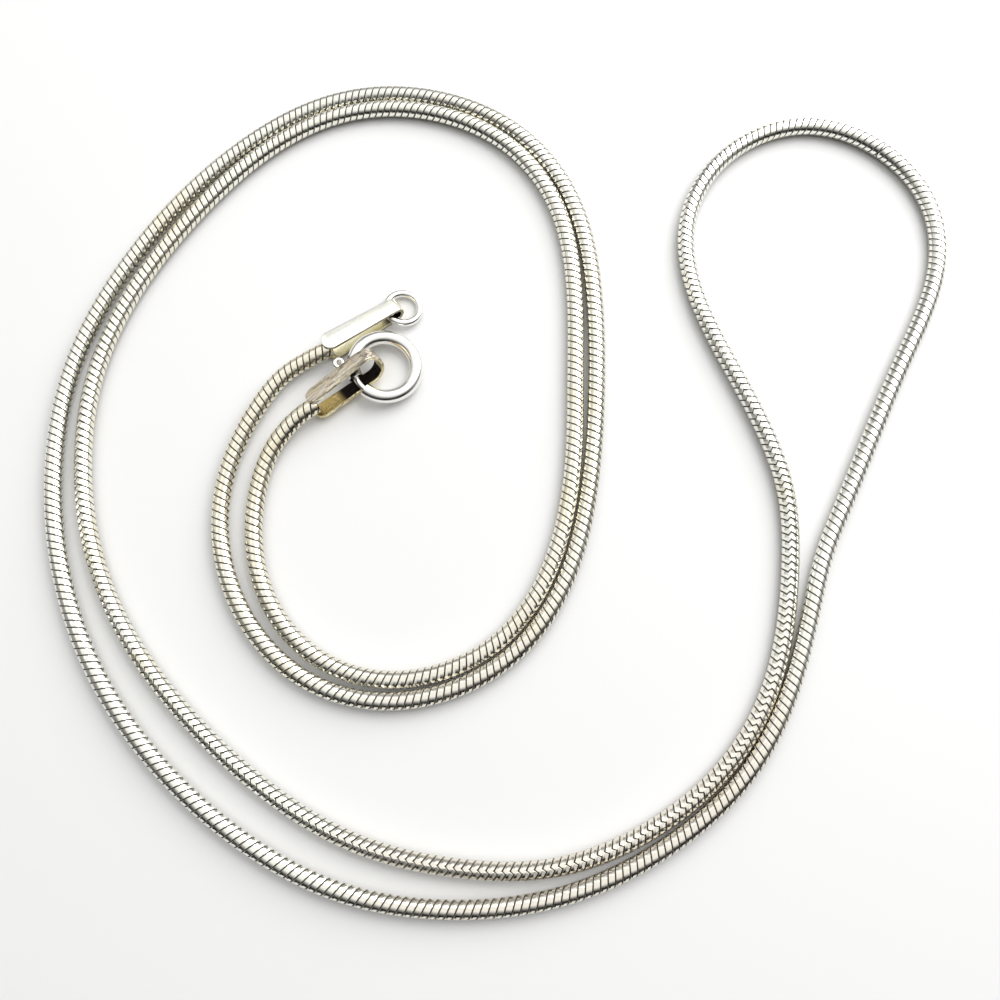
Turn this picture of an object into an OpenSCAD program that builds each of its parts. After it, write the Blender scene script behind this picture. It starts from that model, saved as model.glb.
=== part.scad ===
// A round snake chain with a spring ring clasp, laid doubled in a loose spiral and unclasped.
// Everything lies on z = 0, with the origin under the middle of the laid chain.

/* [Chain] */
// Diameter of the round snake chain
chain_d = 1.5; // [1.3:0.05:1.6]
// Scale of the laid route; 1 is a chain of about 61 cm with its tabs and clasp
route_scale = 1; // [0.9:0.01:1.15]
// Space between two strands that lie side by side
lay_gap = 0.08; // [0.04:0.02:0.2]

/* [Tabs] */
// Thickness of the sheet that both end tabs are folded from
tab_t = 0.3; // [0.2:0.05:0.35]
// Space left between the chain's end and the leaves that grip it
seat_gap = 0.03; // [0.01:0.01:0.06]
// Width of the tab that carries the end ring, at its round tip
ring_tab_w = 1.7; // [1.4:0.1:1.8]
// Length of the tab that carries the end ring
ring_tab_len = 7.8; // [7.2:0.2:8.6]
// Width of the tab that carries the spring ring, at its round tip
clasp_tab_w = 1.7; // [1.4:0.1:1.8]
// Length of the tab that carries the spring ring
clasp_tab_len = 7.3; // [7.1:0.1:7.9]
// Width of a tab at its fold, as a part of its width at the tip
tab_taper = 0.8; // [0.7:0.05:1]
// Length of chain held between the leaves of a tab
tab_grip = 0.5; // [0.3:0.1:0.6]
// How far the end ring's tab is rolled over on its side, in degrees
ring_tab_roll = 6; // [0:1:8]
// How far the clasp's tab is rolled over on its side, in degrees
clasp_tab_roll = 26; // [18:1:28]

/* [End ring] */
// Wire diameter of the closed end ring
end_ring_wire = 0.65; // [0.5:0.05:0.8]
// Diameter of the end ring, measured through the middle of its wire
end_ring_d = 3; // [2.8:0.1:3.4]
// Free space round the end ring's wire in the fold of its tab
end_ring_play = 0.14; // [0.1:0.02:0.2]

/* [Spring ring] */
// Diameter of the spring ring, measured through the middle of its tube
clasp_d = 5.5; // [5.3:0.1:5.7]
// Outer diameter of the spring ring's tube
tube_d = 1.24; // [1.1:0.02:1.3]
// Wall of the tube
tube_wall = 0.29; // [0.22:0.01:0.32]
// Space between the bolt and the bore it slides in, all round
bolt_play = 0.06; // [0.04:0.01:0.08]
// Free space round the tube in the fold of its tab
fold_play = 0.5; // [0.44:0.02:0.56]
// Opening between the two ends of the tube, in degrees of the ring
mouth_arc = 27; // [20:1:30]

/* [Trigger] */
// Wire diameter of the trigger's eye and stem
trigger_wire = 0.38; // [0.3:0.02:0.4]
// Diameter of the trigger's eye, measured through the middle of its wire
trigger_d = 0.7; // [0.6:0.02:0.74]
// Space beside the stem in the tube's slot
slot_play = 0.07; // [0.04:0.01:0.12]

/* [Hidden] */
silver = [0.8, 0.79, 0.76];
warm_silver = [0.82, 0.78, 0.66];
$fn = 48;

// Route of the doubled stretch: x and y of the line midway between the two strands, and the
// open space between them over and above lay_gap. Round numbers, from the clasp outwards.
DOUBLED = [
    [-22, 2, 1.5],
    [-21.5, -6.5, 0.9],
    [-16.5, -13.5, 0.5],
    [-8.5, -16, 0.1],
    [0, -13, 0],
    [5, -6, 0],
    [7, 2.5, 0],
    [7.5, 11, 0.3],
    [7.5, 19.5, 0.1],
    [6, 28, 0],
    [1, 35, 0],
    [-7, 38.5, 0],
    [-15.5, 38, 0],
    [-23, 33.5, 0],
    [-29, 27, 0.3],
    [-33.5, 20, 0.3],
    [-36.5, 12, 0.6],
    [-37, 3.5, 0.9],
    [-35.5, -5, 1.3],
    [-31.8, -13, 2],
    [-26.3, -19.8, 2.5],
    [-19.8, -25.3, 2.5],
    [-12, -29.5, 2.2],
    [-3.5, -31, 1.5],
    [5, -30.5, 0.5],
    [13, -27, 0.1],
    [19.5, -21.5, 0],
    [23.5, -14, 0],
    [25.5, -5.5, 1]
];

// Route of the single loop at the far end, from the inner strand round to the outer one
LOOP = [
    [24.2, 2],
    [21.3, 10],
    [17.8, 18],
    [17, 26],
    [21, 33],
    [28.5, 36.2],
    [35.5, 33.5],
    [39.5, 27.5],
    [39, 20],
    [35.3, 12.5],
    [32, 5.5],
    [28.7, -1.5]
];

// Last points of the two strands, from the doubled stretch to the tabs
TO_RING_TAB = [[-20.5, 9], [-18.2, 11.7]];
TO_CLASP_TAB = [[-18.3, 6.3]];

// Where each tab's round tip lies, and the way the tab points from there
RING_TAB_TIP = [-15.35, 13.4];
RING_TAB_TURN = 35;
CLASP_TAB_TIP = [-16.25, 8.05];
CLASP_TAB_TURN = 37;

// Where the spring ring's tube crosses its tab, from the tip, and the way from there to its centre
CLASP_CROSS = 4.6;
CLASP_TURN = 24.5;
// Angle of the tube's lower end round the spring ring, and how far the bolt enters it
MOUTH_END = 233;
BOLT_LAP = 3;
// Angle of the trigger when the bolt is shut, and the stretch of bolt behind it
TRIGGER_AT = 179;
BOLT_TAIL = 62;
// Sides of the plain chain
SIDES = 8;

// A named direction in the plane
function toward(turn) = [cos(turn), sin(turn)];
function unit(v) = v / norm(v);
function to_left(v) = [-v.y, v.x];

// The leaves stand off the corners of the plain chain by seat_gap
corner_r = chain_d / 2 / cos(180 / SIDES);
grip_half = corner_r + seat_gap;
ring_fold_d = end_ring_wire + 2 * end_ring_play;
clasp_fold_d = tube_d + 2 * fold_play;

// Height of the chain's axis on the surface and inside each tab
lying_z = chain_d / 2;
function rolled_z(z, width, roll) = z * cos(roll) + width / 2 * sin(roll);
ring_tab_z = rolled_z(tab_t + grip_half, ring_tab_w, ring_tab_roll);
clasp_tab_z = rolled_z(tab_t + grip_half, clasp_tab_w, clasp_tab_roll);

// The chain runs straight into each tab, from in_line before the tip to tab_grip behind it
in_line = 0.4;
function gripped(tip, turn, z) = [
    for (s = [tab_grip, -in_line])
        let (p = tip + s * toward(turn)) [p.x, p.y, z]
];

// A point of the route, which grows and shrinks round the middle of the two tabs' tips
tips_middle = (RING_TAB_TIP + CLASP_TAB_TIP) / 2;
function laid(p) = tips_middle + route_scale * ([p.x, p.y] - tips_middle);

// One strand of the doubled stretch, side = 1 for the outer and -1 for the inner one
strand_rows = len(DOUBLED);
function mid(i) = laid(DOUBLED[i]);
function mid_way(i) = unit(mid(min(i + 1, strand_rows - 1)) - mid(max(i - 1, 0)));
function strand(side) = [
    for (i = [0:strand_rows - 1])
        let (out = -side * (chain_d + lay_gap + DOUBLED[i].z) / 2)
            mid(i) + out * to_left(mid_way(i))
];
function lift(points, z) = [for (p = points) [p.x, p.y, z]];
function laid_at(points, z) = lift([for (p = points) laid(p)], z);
function reversed(list) = [for (i = [len(list) - 1:-1:0]) list[i]];

// The whole centre line, from the end ring's tab to the clasp's tab
half_loop = floor(len(LOOP) / 2);
ring_half = concat(
    gripped(RING_TAB_TIP, RING_TAB_TURN, ring_tab_z),
    laid_at(reversed(TO_RING_TAB), (ring_tab_z + lying_z) / 2),
    lift(strand(1), lying_z),
    laid_at([for (i = [len(LOOP) - 1:-1:half_loop]) LOOP[i]], lying_z)
);
clasp_half = concat(
    gripped(CLASP_TAB_TIP, CLASP_TAB_TURN, clasp_tab_z),
    laid_at(reversed(TO_CLASP_TAB), (clasp_tab_z + lying_z) / 2),
    lift(strand(-1), lying_z),
    laid_at([for (i = [0:half_loop]) LOOP[i]], lying_z)
);
join_way = unit(ring_half[len(ring_half) - 2] - clasp_half[len(clasp_half) - 2]);

// Way the chain runs at each point of a half; its first and last ways are set
function ways(half, first, last) = [
    for (i = [0:len(half) - 1])
        i == 0 ? first : i == len(half) - 1 ? last : unit(half[i + 1] - half[i - 1])
];
ring_ways = ways(ring_half, [-cos(RING_TAB_TURN), -sin(RING_TAB_TURN), 0], -join_way);
clasp_ways = ways(clasp_half, [-cos(CLASP_TAB_TURN), -sin(CLASP_TAB_TURN), 0], join_way);

// Corners of the plain chain round each point, with flats below and at both sides
function corners(half, way) = [
    for (i = [0:len(half) - 1])
        let (side = unit(cross([0, 0, 1], way[i])), up = cross(way[i], side))
            for (k = [0:SIDES - 1])
                let (turn = (k + 0.5) * 360 / SIDES)
                    half[i] + corner_r * (cos(turn) * side + sin(turn) * up)
];
ring_corners = corners(ring_half, ring_ways);
clasp_corners = corners(clasp_half, clasp_ways);

// Middle of the whole laid chain, which becomes the origin
all_x = [for (p = concat(ring_corners, clasp_corners)) p.x];
all_y = [for (p = concat(ring_corners, clasp_corners)) p.y];
middle = [(min(all_x) + max(all_x)) / 2, (min(all_y) + max(all_y)) / 2, 0];

// The plain chain: a closed skin over the corners
module chain_skin(points) {
    rings = len(points) / SIDES;
    walls = [
        for (i = [0:rings - 2])
            for (k = [0:SIDES - 1])
                let (n = (k + 1) % SIDES)
                    [i * SIDES + k, (i + 1) * SIDES + k, (i + 1) * SIDES + n, i * SIDES + n]
    ];
    first_cap = [[for (k = [0:SIDES - 1]) k]];
    last_cap = [[for (k = [SIDES - 1:-1:0]) (rings - 1) * SIDES + k]];
    translate(-middle) polyhedron(points, concat(first_cap, walls, last_cap), convexity = 12);
}

module chain_ring_half() {
    color(warm_silver) chain_skin(ring_corners);
}

module chain_clasp_half() {
    color(silver) chain_skin(clasp_corners);
}

// Side view of a folded tab: the lower leaf is straight along z = 0, the upper leaf slopes
// from the chain to the fold. The round tip is at x = 0.
module tab_side(length, fold_d) {
    open_h = 2 * grip_half;
    fold_x = length - tab_t - fold_d / 2;
    difference() {
        union() {
            polygon([
                [0, -tab_t],
                [fold_x, -tab_t],
                [fold_x, fold_d + tab_t],
                [tab_grip, open_h + tab_t],
                [0, open_h + tab_t]
            ]);
            translate([fold_x, fold_d / 2]) circle(d = fold_d + 2 * tab_t);
        }
        polygon([
            [-1, 0],
            [fold_x, 0],
            [fold_x, fold_d],
            [tab_grip, open_h],
            [-1, open_h]
        ]);
        translate([fold_x, fold_d / 2]) circle(d = fold_d);
    }
}

// A strip folded in two round a wire, with a round tip on both leaves; the chain's axis is y = z = 0
module folded_tab(length, width, fold_d) {
    fold_w = tab_taper * width;
    intersection() {
        translate([0, width, -grip_half])
            rotate([90, 0, 0]) linear_extrude(height = 2 * width) tab_side(length, fold_d);
        translate([0, 0, -length]) linear_extrude(height = 2 * length) union() {
            translate([width / 2, 0]) circle(d = width);
            polygon([
                [width / 2, -width / 2],
                [length + 1, -fold_w / 2],
                [length + 1, fold_w / 2],
                [width / 2, width / 2]
            ]);
        }
    }
}

module place_ring_tab() {
    translate([RING_TAB_TIP.x, RING_TAB_TIP.y, ring_tab_z] - middle)
        rotate([0, 0, RING_TAB_TURN]) rotate([-ring_tab_roll, 0, 0]) children();
}

module place_clasp_tab() {
    translate([CLASP_TAB_TIP.x, CLASP_TAB_TIP.y, clasp_tab_z] - middle)
        rotate([0, 0, CLASP_TAB_TURN]) rotate([-clasp_tab_roll, 0, 0]) children();
}

module ring_tab() {
    color(silver) place_ring_tab() folded_tab(ring_tab_len, ring_tab_w, ring_fold_d);
}

module clasp_tab() {
    color(warm_silver) place_clasp_tab() folded_tab(clasp_tab_len, clasp_tab_w, clasp_fold_d);
}

// The end ring hangs in the fold of its tab and droops until its far side lies on the surface
fold_z = rolled_z(tab_t + ring_fold_d / 2, ring_tab_w, ring_tab_roll);
end_ring_droop = asin((fold_z - end_ring_wire / 2) / end_ring_d);
end_ring_slack = 0.55;
end_ring_side = -0.3;

module end_ring() {
    reach = ring_tab_len - tab_t - ring_fold_d / 2 - end_ring_slack;
    color(silver)
        translate([RING_TAB_TIP.x, RING_TAB_TIP.y, fold_z] - middle) rotate([0, 0, RING_TAB_TURN])
            translate([reach, end_ring_side, 0]) rotate([0, end_ring_droop, 0])
                translate([end_ring_d / 2, 0, 0]) rotate_extrude()
                    translate([end_ring_d / 2, 0]) circle(d = end_ring_wire);
}

// The spring ring passes through the fold of its tab, and droops to the surface on the far side
clasp_r = clasp_d / 2;
tube_r = tube_d / 2;
bore_d = tube_d - 2 * tube_wall;
bolt_d = bore_d - 2 * bolt_play;
clasp_centre = CLASP_TAB_TIP + CLASP_CROSS * toward(CLASP_TAB_TURN) + clasp_r * toward(CLASP_TURN);
// Height of the tube where it crosses the tab: it clears the lower leaf by rest_play, halfway
// out to that leaf's raised edge
cross_part = (CLASP_CROSS - tab_grip) / (clasp_tab_len - tab_t - clasp_fold_d / 2 - tab_grip);
cross_w = clasp_tab_w * (1 + (tab_taper - 1) * cross_part);
rest_play = 0.06;
held_z = clasp_tab_z - grip_half * cos(clasp_tab_roll) + cross_w / 4 * sin(clasp_tab_roll)
    + tube_d / 2 + rest_play;
clasp_droop = asin((held_z - tube_r) / clasp_d);
clasp_z = tube_r + clasp_r * sin(clasp_droop);
mouth_start = MOUTH_END - mouth_arc;
bolt_travel = mouth_arc + BOLT_LAP;
stem_d = trigger_wire;
slot_w = stem_d + 2 * slot_play;
slot_pad = asin((stem_d / 2 + slot_play) / clasp_r);
trigger_gap = 0.1;
trigger_r = clasp_r + tube_r + trigger_d / 2 + trigger_wire / 2 + trigger_gap;

module place_clasp() {
    translate([clasp_centre.x, clasp_centre.y, clasp_z] - middle) rotate([0, clasp_droop, 0])
        children();
}

// Part of a ring of the given radius, from one angle to another, with a round section
module ring_part(r, from, to, d) {
    rotate([0, 0, from]) rotate_extrude(angle = to - from) translate([r, 0]) circle(d = d);
}

module spring_ring() {
    slot_from = TRIGGER_AT - bolt_travel - slot_pad;
    slot_to = TRIGGER_AT + slot_pad;
    color(silver) place_clasp() difference() {
        rotate([0, 0, MOUTH_END]) rotate_extrude(angle = 360 - mouth_arc) translate([clasp_r, 0])
            difference() {
                circle(d = tube_d);
                circle(d = bore_d);
            }
        rotate([0, 0, slot_from]) rotate_extrude(angle = slot_to - slot_from)
            translate([clasp_r, -slot_w / 2]) square([tube_d, slot_w]);
    }
}

module bolt() {
    color(silver) place_clasp() union() {
        ring_part(clasp_r, TRIGGER_AT - BOLT_TAIL, MOUTH_END + BOLT_LAP, bolt_d);
        rotate([0, 0, TRIGGER_AT]) {
            translate([clasp_r, 0, 0]) rotate([0, 90, 0])
                cylinder(d = stem_d, h = trigger_r - trigger_d / 2 - clasp_r);
            translate([trigger_r, 0, 0]) rotate_extrude()
                translate([trigger_d / 2, 0]) circle(d = trigger_wire);
        }
    }
}

chain_ring_half();
chain_clasp_half();
ring_tab();
clasp_tab();
end_ring();
spring_ring();
bolt();
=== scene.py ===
"""A round snake chain with a spring ring clasp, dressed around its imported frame."""

import math

import bmesh
import bpy
import numpy as np
from mathutils import Matrix, Vector
from mathutils.bvhtree import BVHTree


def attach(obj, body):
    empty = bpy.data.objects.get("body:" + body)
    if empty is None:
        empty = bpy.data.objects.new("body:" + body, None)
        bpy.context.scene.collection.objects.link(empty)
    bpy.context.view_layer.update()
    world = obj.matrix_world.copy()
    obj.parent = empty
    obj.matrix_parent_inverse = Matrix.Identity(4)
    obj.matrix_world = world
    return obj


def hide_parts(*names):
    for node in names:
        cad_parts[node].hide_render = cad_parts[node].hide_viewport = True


bl_info = {
    "name": "Snake Chain Necklace",
    "version": (1, 0, 0),
    "blender": (4, 5, 0),
    "location": "View3D > Sidebar > Necklace",
    "description": "Builds a laid snake chain with folded tabs and a spring ring clasp",
    "category": "Add Mesh",
}

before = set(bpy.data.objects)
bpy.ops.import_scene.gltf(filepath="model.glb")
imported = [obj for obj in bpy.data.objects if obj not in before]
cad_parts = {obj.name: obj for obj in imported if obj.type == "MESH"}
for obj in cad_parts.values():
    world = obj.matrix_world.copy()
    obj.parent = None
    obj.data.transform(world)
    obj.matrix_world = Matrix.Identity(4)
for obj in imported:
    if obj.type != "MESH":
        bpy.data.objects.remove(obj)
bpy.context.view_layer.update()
MM = 0.001

# The laid route in millimetres, as the solids have it: the line midway between the two
# strands of the doubled stretch, with the open space between them over and above LAY_GAP.
DOUBLED = (
    (-22, 2, 1.5),
    (-21.5, -6.5, 0.9),
    (-16.5, -13.5, 0.5),
    (-8.5, -16, 0.1),
    (0, -13, 0),
    (5, -6, 0),
    (7, 2.5, 0),
    (7.5, 11, 0.3),
    (7.5, 19.5, 0.1),
    (6, 28, 0),
    (1, 35, 0),
    (-7, 38.5, 0),
    (-15.5, 38, 0),
    (-23, 33.5, 0),
    (-29, 27, 0.3),
    (-33.5, 20, 0.3),
    (-36.5, 12, 0.6),
    (-37, 3.5, 0.9),
    (-35.5, -5, 1.3),
    (-31.8, -13, 2),
    (-26.3, -19.8, 2.5),
    (-19.8, -25.3, 2.5),
    (-12, -29.5, 2.2),
    (-3.5, -31, 1.5),
    (5, -30.5, 0.5),
    (13, -27, 0.1),
    (19.5, -21.5, 0),
    (23.5, -14, 0),
    (25.5, -5.5, 1),
)
# The single loop at the far end, from the inner strand round to the outer one
LOOP = (
    (24.2, 2),
    (21.3, 10),
    (17.8, 18),
    (17, 26),
    (21, 33),
    (28.5, 36.2),
    (35.5, 33.5),
    (39.5, 27.5),
    (39, 20),
    (35.3, 12.5),
    (32, 5.5),
    (28.7, -1.5),
)
# The last points before each tab
TO_RING_TAB = ((-20.5, 9), (-18.2, 11.7))
TO_CLASP_TAB = ((-18.3, 6.3),)
# Each tab's round tip, its heading, how far it is rolled on its side and the chain's height in it
RING_TAB = {"tip": (-15.35, 13.4), "turn": 35, "roll": 6, "height": 1.224}
CLASP_TAB = {"tip": (-16.25, 8.05), "turn": 37, "roll": 26, "height": 1.399}
LAY_GAP = 0.08
CHAIN_D = 1.5
TAB_GRIP = 0.5
IN_LINE = 0.4
CREASE = math.radians(32)
# Middle of the laid chain, which is the frame's origin
MIDDLE = (0.619, 3.364)
# Where the chain's tarnish turns warm, round the clasp, and rosy, at the lower turn, in metres
CLASP_SIDE = (-0.013, 0.006, 0.0)
ROSE_SIDE = (0.009, -0.034, 0.0)
# How much of a colour is left down in a score
WORN = 0.3


def toward(turn):
    return np.array((math.cos(math.radians(turn)), math.sin(math.radians(turn))))


def strand(side):
    """One strand of the doubled stretch, side = 1 for the outer and -1 for the inner one."""
    rows = np.array(DOUBLED, float)
    mid = rows[:, :2]
    last = len(mid) - 1
    points = []
    for i, (x, y, gap) in enumerate(rows):
        way = mid[min(i + 1, last)] - mid[max(i - 1, 0)]
        way /= np.linalg.norm(way)
        off = side * (CHAIN_D + LAY_GAP + gap) / 2
        points.append((x + off * way[1], y - off * way[0]))
    return points


def gripped(tab):
    """The straight stretch of chain inside a tab, from its end outwards."""
    tip = np.array(tab["tip"])
    return [tuple(tip + s * toward(tab["turn"])) + (tab["height"],) for s in (TAB_GRIP, -IN_LINE)]


def lifted(points, z):
    return [(x, y, z) for x, y in points]


def route():
    """The chain's whole route in millimetres, and the point where its two halves meet."""
    lying = CHAIN_D / 2
    turn = len(LOOP) // 2
    ring_half = (
        gripped(RING_TAB)
        + lifted(reversed(TO_RING_TAB), (RING_TAB["height"] + lying) / 2)
        + lifted(strand(1), lying)
        + lifted(LOOP[: turn - 1 : -1], lying)
    )
    clasp_half = (
        gripped(CLASP_TAB)
        + lifted(reversed(TO_CLASP_TAB), (CLASP_TAB["height"] + lying) / 2)
        + lifted(strand(-1), lying)
        + lifted(LOOP[:turn], lying)
    )
    points = np.array(ring_half + clasp_half[::-1], float)
    points[:, :2] -= MIDDLE
    return points, len(ring_half) - 1


class CentreLine:
    """A smooth line close by the route's points, measured along its length."""

    STEPS = 60

    def __init__(self):
        points, join = route()
        guide = points.copy()
        guide[1:-1] -= (points[:-2] - 2 * points[1:-1] + points[2:]) / 6
        guide = np.vstack((2 * guide[0] - guide[1], guide, 2 * guide[-1] - guide[-2]))
        t = np.arange(self.STEPS)[:, None] / self.STEPS
        b0, b1 = (1 - t) ** 3 / 6, (3 * t**3 - 6 * t**2 + 4) / 6
        b2, b3 = (-3 * t**3 + 3 * t**2 + 3 * t + 1) / 6, t**3 / 6
        spans = [
            b0 * guide[i] + b1 * guide[i + 1] + b2 * guide[i + 2] + b3 * guide[i + 3]
            for i in range(len(guide) - 3)
        ]
        self.points = np.vstack(spans + [points[-1:]])
        self.points[:, 2] = np.maximum(self.points[:, 2], CHAIN_D / 2)
        steps = np.linalg.norm(np.diff(self.points, axis=0), axis=1)
        self.at = np.concatenate(([0], np.cumsum(steps)))
        self.length = self.at[-1]
        self.join = self.at[join * self.STEPS]
        ways = np.gradient(self.points, axis=0)
        self.ways = ways / np.linalg.norm(ways, axis=1)[:, None]

    def _read(self, table, s):
        return np.stack([np.interp(s, self.at, table[:, i]) for i in range(3)], axis=-1)

    def around(self, s, turn, radius):
        """Points at lengths s, at an angle round the line from its left side over its top."""
        way = self._read(self.ways, s)
        side = np.stack((-way[..., 1], way[..., 0], np.zeros_like(s)), axis=-1)
        side /= np.linalg.norm(side, axis=-1)[..., None]
        up = np.cross(way, side)
        spread = np.cos(turn)[..., None] * side + np.sin(turn)[..., None] * up
        return self._read(self.points, s) + radius[..., None] * spread


def new_piece(name, bm, body, finish):
    """Turns a finished bmesh into a named piece that rides on a body, creased at its sharp edges."""
    mesh = bpy.data.meshes.new(name)
    bm.to_mesh(mesh)
    bm.free()
    mesh.materials.append(finish)
    mesh.shade_smooth()
    mesh.set_sharp_from_angle(angle=CREASE)
    piece = bpy.data.objects.new(name, mesh)
    bpy.context.scene.collection.objects.link(piece)
    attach(piece, body)
    return piece


class Flow:
    """A shader value, so that maths on it is written as an expression."""

    def __init__(self, finish, socket):
        self.finish = finish
        self.socket = socket

    def _math(self, operation, first, second=0.0):
        return self.finish.node("ShaderNodeMath", {"operation": operation}, {0: first, 1: second})

    def __add__(self, other):
        return self._math("ADD", self, other)

    def __sub__(self, other):
        return self._math("SUBTRACT", self, other)

    def __rsub__(self, other):
        return self._math("SUBTRACT", other, self)

    def __mul__(self, other):
        return self._math("MULTIPLY", self, other)

    __radd__ = __add__
    __rmul__ = __mul__

    def clamped(self):
        return self.finish.node("ShaderNodeClamp", {}, {0: self})

    def between(self, low, high):
        """0 below low, 1 above high, smooth in between."""
        settings = {"interpolation_type": "SMOOTHSTEP"}
        return self.finish.node("ShaderNodeMapRange", settings, {0: self, 1: low, 2: high})


class Nodes:
    """A node tree that is being put together."""

    def __init__(self, tree):
        self.tree = tree
        self.tree.nodes.clear()

    def node(self, kind, settings, inputs, output=0):
        """Adds a node of any kind: its settings first, then the values or links of its sockets."""
        node = self.tree.nodes.new(kind)
        for key, value in settings.items():
            setattr(node, key, value)
        for key, value in inputs.items():
            self._feed(node.inputs[key], value)
        return Flow(self, node.outputs[output])

    def _feed(self, socket, value):
        if isinstance(value, Flow):
            self.tree.links.new(value.socket, socket)
        elif isinstance(value, tuple) and len(value) == 3 and socket.type == "RGBA":
            socket.default_value = (*value, 1)
        else:
            socket.default_value = value


class Finish(Nodes):
    """A material that is being put together from nodes."""

    def __init__(self, name, **constants):
        self.material = bpy.data.materials.new(name)
        self.material.use_nodes = True
        super().__init__(self.material.node_tree)
        self.shader = self.tree.nodes.new("ShaderNodeBsdfPrincipled")
        out = self.tree.nodes.new("ShaderNodeOutputMaterial")
        self.tree.links.new(self.shader.outputs[0], out.inputs[0])
        for socket, value in constants.items():
            self.shader.inputs[socket.replace("_", " ")].default_value = value

    def set(self, socket, value):
        self._feed(self.shader.inputs[socket], value)

    def place(self):
        return self.node("ShaderNodeTexCoord", {}, {}, "Object")

    def attribute(self, name):
        return self.node("ShaderNodeAttribute", {"attribute_name": name}, {}, "Fac")

    def noise(self, scale, detail=2.0, vector=None):
        where = vector or self.place()
        return self.node("ShaderNodeTexNoise", {}, {"Vector": where, "Scale": scale, "Detail": detail})

    def mixed(self, amount, first, second):
        settings = {"data_type": "RGBA"}
        return self.node("ShaderNodeMix", settings, {0: amount, 6: first, 7: second}, 2)

    def near(self, point, low, high):
        """1 within low of a point, 0 beyond high, smooth in between."""
        settings = {"operation": "DISTANCE"}
        gone = self.node("ShaderNodeVectorMath", settings, {0: self.place(), 1: point}, "Value")
        return 1 - gone.between(low, high)

    def bumped(self, height, distance, strength=1.0):
        self.set(
            "Normal",
            self.node("ShaderNodeBump", {}, {"Height": height, "Distance": distance, "Strength": strength}),
        )


def chain_finish(settings):
    """Bright bands with tarnish in the grooves, warmer near the clasp."""
    finish = Finish("chain_silver", Metallic=1.0)
    relief = finish.attribute("relief")
    tone = finish.attribute("tone")
    patches = finish.noise(140.0, 3.0)
    clasp_side = finish.near(CLASP_SIDE, 0.010, 0.034)
    warm = (clasp_side * 0.4 + patches.between(0.5, 0.72) * 0.25 + tone * 0.12).clamped()
    colour = finish.mixed(warm, tuple(settings.silver), tuple(settings.warm))
    rose_side = finish.near(ROSE_SIDE, 0.012, 0.030)
    colour = finish.mixed(rose_side * 0.45, colour, tuple(settings.rose))
    # Darker towards the side that lies down: painted shade under the chain, with some tarnish
    height = finish.node("ShaderNodeSeparateXYZ", {}, {0: finish.place()}, 2)
    tarnish_and_shade_under = 1 - height.between(0.1 * MM, 0.75 * MM)
    colour = finish.mixed(tarnish_and_shade_under * 0.75, colour, tuple(settings.tarnish_and_shade_under))
    groove = 1 - relief.between(0.4, 0.95)
    colour = finish.mixed(groove, colour, tuple(settings.groove))
    finish.set("Base Color", colour)
    finish.set("Metallic", 1 - groove * 0.8)
    finish.set("Roughness", 0.15 + groove * 0.5 + tone * 0.08)
    finish.bumped(finish.noise(6000.0, 2.0), 0.00001, 0.3)
    return finish.material


def worn_darker(colour):
    """The colour down in a score."""
    return tuple(channel * WORN for channel in colour)


def sheet_finish(name, tab, pale, golden, edge, dark, dark_from, wear):
    """Folded sheet: pale on the upper leaf, golden below, with painted rims and its own scores.

    Its rims are painted the edge colour: painted shade as a dark outline on the ring's tab, a painted
    highlight on the clasp's tab. Inside the fold it is painted dark as shade from dark_from millimetres
    past the tab's round tip.
    """
    finish = Finish(name, Metallic=1.0)
    height, along = finish.attribute("height"), finish.attribute("along")
    rim, inside = finish.attribute("rim"), finish.attribute("inside")
    patches = finish.noise(900.0, 3.0)
    low = 1 - height.between(-0.3, 0.5)
    gold = (low * 0.85 + patches.between(0.45, 0.7) * 0.3).clamped()
    colour = finish.mixed(gold, tuple(pale), tuple(golden))
    # Faces turned sideways or back take the edge colour: painted shade on the ring's tab, a painted
    # highlight on the clasp's tab
    colour = finish.mixed(rim * 0.8, colour, tuple(edge))
    # Painted shade: inside the fold it is painted dark from dark_from millimetres past the round tip
    fold_shade = inside * along.between(dark_from, dark_from + 0.8)
    colour = finish.mixed(fold_shade, colour, tuple(dark))
    # Scores run along the leaf, so their noise is drawn out that way
    drawn = {
        "Vector": finish.place(),
        "Rotation": (-math.radians(tab["roll"]), 0, math.radians(tab["turn"])),
        "Scale": (6, 1, 1),
    }
    along_leaf = finish.node("ShaderNodeMapping", {"vector_type": "TEXTURE"}, drawn)
    scores = finish.noise(4200.0, 2.0, along_leaf)
    scored = scores.between(0.5, 0.64) * (1 - low) * (0.75 * wear)
    colour = finish.mixed(scored, colour, worn_darker(pale))
    finish.set("Base Color", colour)
    finish.set("Roughness", 0.2 + patches * 0.15 + fold_shade * 0.3)
    dents = scores + finish.noise(2200.0, 2.0) * (0.3 + low * 0.7)
    finish.bumped(dents, 0.00012 * wear, 1.0)
    return finish.material


def clasp_finish(settings):
    """Bright polished silver with soft smears."""
    finish = Finish("clasp_silver", Metallic=1.0)
    finish.set("Base Color", tuple(settings.bright))
    finish.set("Roughness", 0.12 + finish.noise(900.0, 3.0) * 0.12)
    finish.bumped(finish.noise(2500.0, 2.0), 0.00001, 0.2)
    return finish.material


def colour_property(name, description, default):
    return bpy.props.FloatVectorProperty(
        name=name, description=description, default=default, subtype="COLOR", size=3, min=0, max=1
    )


def length_property(name, description, default):
    return bpy.props.FloatProperty(
        name=name, description=description, default=default, unit="LENGTH", min=0, precision=5
    )


class NecklaceChain(bpy.types.PropertyGroup):
    """Sizes of the chain's bands."""

    pitch: length_property("Pitch", "Distance from one band to the next", 0.63 * MM)
    groove: length_property("Groove", "Depth of the groove between two bands", 0.075 * MM)
    seam: length_property("Seam", "Depth of the seam between the two rows of bands", 0.06 * MM)
    slant: bpy.props.FloatProperty(
        name="Slant", description="Bands that a groove crosses from seam to seam", default=1.5
    )


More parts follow.
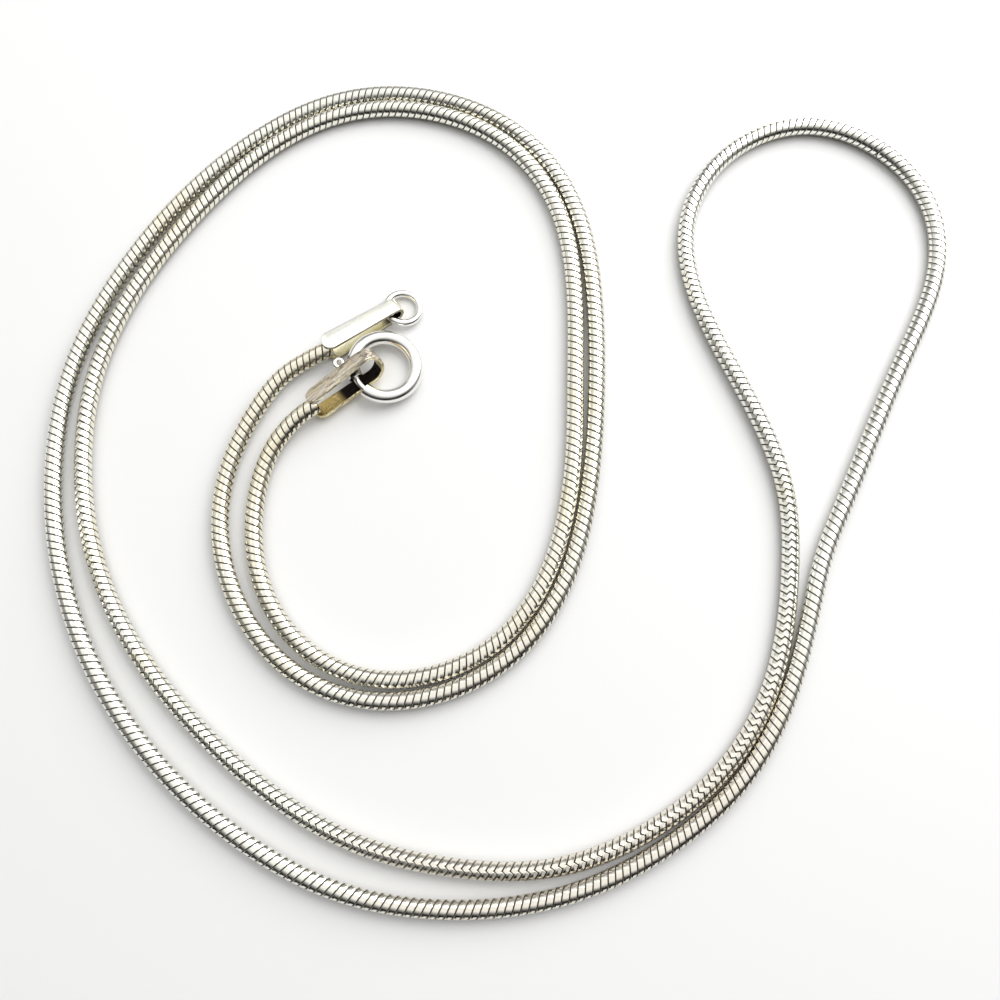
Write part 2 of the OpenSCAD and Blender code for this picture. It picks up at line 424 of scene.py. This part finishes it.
class NecklaceColours(bpy.types.PropertyGroup):
    """Colours of the metal."""

    silver: colour_property("Silver", "Clean silver", (0.93, 0.925, 0.865))
    warm: colour_property("Tarnish", "Warm tarnish", (0.80, 0.70, 0.46))
    groove: colour_property("Groove", "Tarnish down in the grooves", (0.03, 0.025, 0.012))
    # Painted shade with some tarnish on the chain's underside; the ring's tab takes it as painted shade on
    # its rims
    tarnish_and_shade_under: colour_property("Underside", "Tarnish and painted shade on the side that lies down", (0.22, 0.19, 0.12))
    bright: colour_property("Polished", "Polished clasp", (0.92, 0.91, 0.88))
    rose: colour_property("Rose", "Rose tarnish of the chain and the clasp's tab", (0.78, 0.69, 0.58))
    gold: colour_property("Gold", "Golden tarnish of the sheet", (0.70, 0.53, 0.18))
    # Cream is also the painted highlight on the clasp tab's rims
    cream: colour_property("Cream", "Pale tarnish of the sheet, and painted highlight on the clasp tab's rims", (0.86, 0.80, 0.55))
    # Painted shade for the inside of the folds
    dark: colour_property("Dark", "Painted shade inside the folds", (0.02, 0.015, 0.015))


class NecklaceStage(bpy.types.PropertyGroup):
    """The stage the necklace is shown on."""

    floor: colour_property("Floor", "Colour of the floor", (0.86, 0.86, 0.86))
    distance: length_property("Distance", "From the camera to the middle of the view", 85 * MM)
    elevation: bpy.props.FloatProperty(
        name="Elevation", description="Angle of the view over the surface",
        default=math.radians(76), subtype="ANGLE",
    )


# Steps across one band and along it, chosen so that half a band's shift keeps the same steps
ACROSS = (0, 0.11, 0.39, 0.5, 0.61, 0.89)
CROWN = (1.0, 0.1, 0.0, 0.0, 0.0, 0.1)
ROUND = (0, 0.035, 0.17, 0.335, 0.5, 0.665, 0.83, 0.965, 1)
SHOULDER = (1.0, 0.1, 0, 0, 0, 0, 0, 0.1, 1.0)
# The share of each band along which a groove runs on beside the seam
HOOK = (0.24, 0.76)
# How far the bands of one row reach in between those of the other, in radians round the chain
INTERLOCK = (0.17, 0.17, 0.08, 0, 0, 0, 0.08, 0.17, 0.17)
# Where the seams lie round the chain, in degrees from its left side, by length from the ring's tab
SEAM_TURNS = (
    (0, 180), (270, 180), (300, 160), (330, 140), (345, 128), (362, 110), (380, 102), (393, 98), (407, 84),
    (437, 80), (447, 70), (470, 50), (500, 34), (560, 32), (600, 10), (700, 0),
)


TONE_SEED = 7
# Points of the skin nearer than this are one point
SKIN_MERGE = 0.0004 * MM


def seam_turn(s):
    at, turns = np.array(SEAM_TURNS, float).T
    return np.radians(np.interp(s, at, turns))


def banded_skin(line, start, end, chain):
    """The skin of slanted bands from one length to another, closed at both ends."""
    pitch = chain.pitch / MM
    groove, seam = chain.groove / MM, chain.seam / MM
    reach = 1 + chain.slant / 2
    first = math.floor(start / pitch - reach)
    bands = math.ceil(end / pitch + reach) - first
    bm = bmesh.new()
    relief = bm.verts.layers.float.new("relief")
    tone = bm.faces.layers.float.new("tone")
    columns, rows = bands * len(ACROSS), len(ROUND) - 1
    step = np.arange(columns + 1)
    across = np.array(ACROSS)[step % len(ACROSS)]
    crown = np.array(CROWN)[step % len(ACROSS)]
    band = first + step // len(ACROSS)
    around = np.array(ROUND)
    shoulder = np.array(SHOULDER)
    rng = np.random.default_rng(TONE_SEED)
    for half in (0, 1):
        s = pitch * (band + across)[None, :] + pitch * chain.slant * (0.5 - around)[:, None]
        # A groove runs on along the seam for half a band, where it meets one of the other row's
        phase = s / pitch % 1
        hooked = (phase > HOOK[0]) & (phase < HOOK[1])
        dip = np.maximum(crown[None, :] * groove, shoulder[:, None] * hooked * seam)
        beyond = (s < start) | (s > end)
        dip = np.where(beyond, seam, dip)
        s = np.clip(s, start, end)
        wave = np.array(INTERLOCK)[:, None] * np.cos(2 * math.pi * (s / pitch - 0.25))
        turn = seam_turn(s) + math.pi * (half + around[:, None]) - wave
        place = line.around(s, turn, CHAIN_D / 2 - dip) * MM
        grid = bmesh.ops.create_grid(bm, x_segments=columns, y_segments=rows, size=1)["verts"]
        for vert, where, depth in zip(grid, place.reshape(-1, 3), dip.reshape(-1)):
            vert.co = where
            vert[relief] = 1 - depth / groove
        bm.faces.ensure_lookup_table()
        shades = rng.random(bands)
        made = columns * rows
        for i, face in enumerate(bm.faces[-made:]):
            face[tone] = shades[(i % columns) // len(ACROSS)]
    bmesh.ops.remove_doubles(bm, verts=bm.verts, dist=SKIN_MERGE)
    rims = [edge for edge in bm.edges if edge.is_boundary]
    bmesh.ops.holes_fill(bm, edges=rims, sides=0)
    bmesh.ops.recalc_face_normals(bm, faces=bm.faces)
    return bm


class NECKLACE_OT_chain(bpy.types.Operator):
    """Build the two halves of the snake chain"""

    bl_idname = "necklace.chain"
    bl_label = "Snake Chain"

    def execute(self, context):
        chain = context.scene.necklace_chain
        finish = chain_finish(context.scene.necklace_colours)
        line = CentreLine()
        spans = {"chain_ring_half": (0, line.join), "chain_clasp_half": (line.join, line.length)}
        for node, (start, end) in spans.items():
            bm = banded_skin(line, start, end, chain)
            piece = new_piece("bands_" + node, bm, "necklace", finish)
            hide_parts(node)
        return {"FINISHED"}


# Rounding of a tab's edges: its width, its steps and the angle from which an edge is sharp
EDGE_ROUNDING = 0.06 * MM
EDGE_STEPS = 3
EDGE_SHARP = math.radians(30)
# Faces of a solid that turn less than this against each other are one face
FLAT = math.radians(0.5)
SOLID_MERGE = 0.0005 * MM
# A place is inside the fold if a ray from just over it meets the tab again within this length
RAY_START = 0.02 * MM
RAY_LENGTH = 3 * MM


def softened(node):
    """A copy of a solid with its sharp edges rounded."""
    bm = bmesh.new()
    bm.from_mesh(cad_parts[node].data)
    bmesh.ops.remove_doubles(bm, verts=bm.verts, dist=SOLID_MERGE)
    bmesh.ops.dissolve_limit(
        bm, angle_limit=FLAT, verts=bm.verts, edges=bm.edges, use_dissolve_boundaries=False
    )
    sharp = [e for e in bm.edges if len(e.link_faces) == 2 and e.calc_face_angle() > EDGE_SHARP]
    bmesh.ops.bevel(
        bm, geom=sharp, offset=EDGE_ROUNDING, segments=EDGE_STEPS, profile=0.5, affect="EDGES",
        material=-1, clamp_overlap=True,
    )
    bmesh.ops.triangulate(bm, faces=[f for f in bm.faces if len(f.verts) > 4])
    return bm


def mapped(bm, tab):
    """Notes on a tab's skin how high and how far along it each place is, its rims and its inside."""
    turned = Matrix.Rotation(math.radians(tab["turn"]), 3, "Z")
    lie = turned @ Matrix.Rotation(-math.radians(tab["roll"]), 3, "X")
    tip = Vector((tab["tip"][0] - MIDDLE[0], tab["tip"][1] - MIDDLE[1], tab["height"])) * MM
    height, along = (bm.verts.layers.float.new(name) for name in ("height", "along"))
    rim, inside = (bm.faces.layers.float.new(name) for name in ("rim", "inside"))
    for vert in bm.verts:
        place = lie.transposed() @ (vert.co - tip) / MM
        vert[height], vert[along] = place.z, place.x
    bm.normal_update()
    skin = BVHTree.FromBMesh(bm)
    for face in bm.faces:
        start = face.calc_center_median() + face.normal * RAY_START
        face[inside] = 1.0 if skin.ray_cast(start, face.normal, RAY_LENGTH)[0] else 0.0
        face[rim] = max(abs(face.normal @ lie.col[1]), -face.normal @ lie.col[0])


class NECKLACE_OT_tabs(bpy.types.Operator):
    """Build the two folded tabs"""

    bl_idname = "necklace.tabs"
    bl_label = "Folded Tabs"

    def execute(self, context):
        shades = context.scene.necklace_colours
        # Both tabs are painted dark inside the fold as shade; the ring's tab has painted shade on its rims,
        # the clasp's tab a painted cream highlight
        finishes = {
            "ring_tab": sheet_finish(
                "tab_pale", RING_TAB, shades.silver, shades.cream, shades.tarnish_and_shade_under, shades.dark, 5.6, 0.1
            ),
            "clasp_tab": sheet_finish(
                "tab_worn", CLASP_TAB, shades.rose, shades.gold, shades.cream, shades.dark, 2.3, 1.0
            ),
        }
        for node, tab in (("ring_tab", RING_TAB), ("clasp_tab", CLASP_TAB)):
            bm = softened(node)
            mapped(bm, tab)
            piece = new_piece("folded_" + node, bm, "necklace", finishes[node])
            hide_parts(node)
        return {"FINISHED"}


class NECKLACE_OT_clasp(bpy.types.Operator):
    """Finish the end ring, the spring ring and its bolt"""

    bl_idname = "necklace.clasp"
    bl_label = "Clasp and Rings"

    def execute(self, context):
        finish = clasp_finish(context.scene.necklace_colours)
        for node in ("end_ring", "spring_ring", "bolt"):
            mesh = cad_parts[node].data
            mesh.materials.clear()
            mesh.materials.append(finish)
        return {"FINISHED"}


# Each soft light's place in metres and its power in watts: north-east and north-west of the middle
LIGHTS = {
    "key": ((0.13, 0.14, 0.17), 0.62),
    "fill": ((-0.19, 0.12, 0.16), 0.1),
}
LIGHT_SIZE = 0.26
LIGHT_AIM = (-0.6 * MM, -3.4 * MM, 0)
FLOOR_HALF = 1.5
FLOOR_GAP = 0.01 * MM


def panel_light(name, place, power):
    """A soft square light that points at the middle of the view."""
    light = bpy.data.lights.new(name, "AREA")
    light.shape = "RECTANGLE"
    light.size = light.size_y = LIGHT_SIZE
    light.energy = power
    lamp = bpy.data.objects.new(name, light)
    lamp.location = place
    lamp.rotation_euler = (Vector(LIGHT_AIM) - Vector(place)).to_track_quat("-Z", "Y").to_euler()
    bpy.context.scene.collection.objects.link(lamp)


def studio():
    """Soft light from a pale tent that is open, and dark, on the viewer's side."""
    world = bpy.data.worlds.new("studio")
    world.use_nodes = True
    tent = Nodes(world.node_tree)
    way = tent.node("ShaderNodeTexCoord", {}, {}, "Generated")
    east, north, up = (tent.node("ShaderNodeSeparateXYZ", {}, {0: way}, i) for i in range(3))
    roof = (up + north * 0.25 + east * 0.15).between(0.5, 0.95)
    front = (0.0 - north).between(0.1, 0.6) * (1 - up.between(0.4, 0.78))
    light = (0.3 + roof * 0.75) * (1 - front * 0.95)
    shade = tent.node("ShaderNodeBackground", {}, {0: (1, 1, 0.985), 1: light})
    out = tent.tree.nodes.new("ShaderNodeOutputWorld")
    tent.tree.links.new(shade.socket, out.inputs[0])
    return world


class NECKLACE_OT_stage(bpy.types.Operator):
    """Set up the floor, the lights and the camera"""

    bl_idname = "necklace.stage"
    bl_label = "Stage"

    def execute(self, context):
        stage = context.scene.necklace_stage
        bm = bmesh.new()
        bmesh.ops.create_grid(bm, x_segments=1, y_segments=1, size=FLOOR_HALF)
        bmesh.ops.translate(bm, verts=bm.verts, vec=(0, 0, -FLOOR_GAP))
        mesh = bpy.data.meshes.new("floor")
        bm.to_mesh(mesh)
        bm.free()
        paper = Finish("floor_paper", Roughness=0.7)
        paper.set("Base Color", tuple(stage.floor))
        mesh.materials.append(paper.material)
        floor = bpy.data.objects.new("floor", mesh)
        context.scene.collection.objects.link(floor)

        context.scene.world = studio()
        context.scene.view_settings.view_transform = "Standard"
        for name, (place, power) in LIGHTS.items():
            panel_light(name, place, power)

        camera = bpy.data.cameras.new("camera")
        camera.lens = 36
        camera.sensor_width = 36
        camera.clip_start = 0.001
        camera.clip_end = 10
        shot = bpy.data.objects.new("camera", camera)
        aim = Vector((-MIDDLE[0] * MM, -MIDDLE[1] * MM, CHAIN_D / 2 * MM))
        back = Vector((0, -math.cos(stage.elevation), math.sin(stage.elevation)))
        shot.location = aim + stage.distance * back
        shot.rotation_euler = (math.pi / 2 - stage.elevation, 0, 0)
        context.scene.collection.objects.link(shot)
        context.scene.camera = shot
        return {"FINISHED"}


PIECES = (NECKLACE_OT_chain, NECKLACE_OT_tabs, NECKLACE_OT_clasp, NECKLACE_OT_stage)


class NECKLACE_PT_panel(bpy.types.Panel):
    """Builds the necklace piece by piece"""

    bl_label = "Necklace"
    bl_idname = "NECKLACE_PT_panel"
    bl_space_type = "VIEW_3D"
    bl_region_type = "UI"
    bl_category = "Necklace"

    def draw(self, context):
        scene = context.scene
        for group in (scene.necklace_chain, scene.necklace_colours, scene.necklace_stage):
            box = self.layout.box()
            for name in group.__annotations__:
                box.prop(group, name)
        for piece in PIECES:
            self.layout.operator(piece.bl_idname)


CLASSES = (NecklaceChain, NecklaceColours, NecklaceStage, *PIECES, NECKLACE_PT_panel)


def register():
    for cls in CLASSES:
        bpy.utils.register_class(cls)
    bpy.types.Scene.necklace_chain = bpy.props.PointerProperty(type=NecklaceChain)
    bpy.types.Scene.necklace_colours = bpy.props.PointerProperty(type=NecklaceColours)
    bpy.types.Scene.necklace_stage = bpy.props.PointerProperty(type=NecklaceStage)


def unregister():
    del bpy.types.Scene.necklace_stage
    del bpy.types.Scene.necklace_colours
    del bpy.types.Scene.necklace_chain
    for cls in reversed(CLASSES):
        bpy.utils.unregister_class(cls)


def main():
    register()
    bpy.ops.necklace.chain()
    bpy.ops.necklace.tabs()
    bpy.ops.necklace.clasp()
    bpy.ops.necklace.stage()


if __name__ == "__main__":
    main()
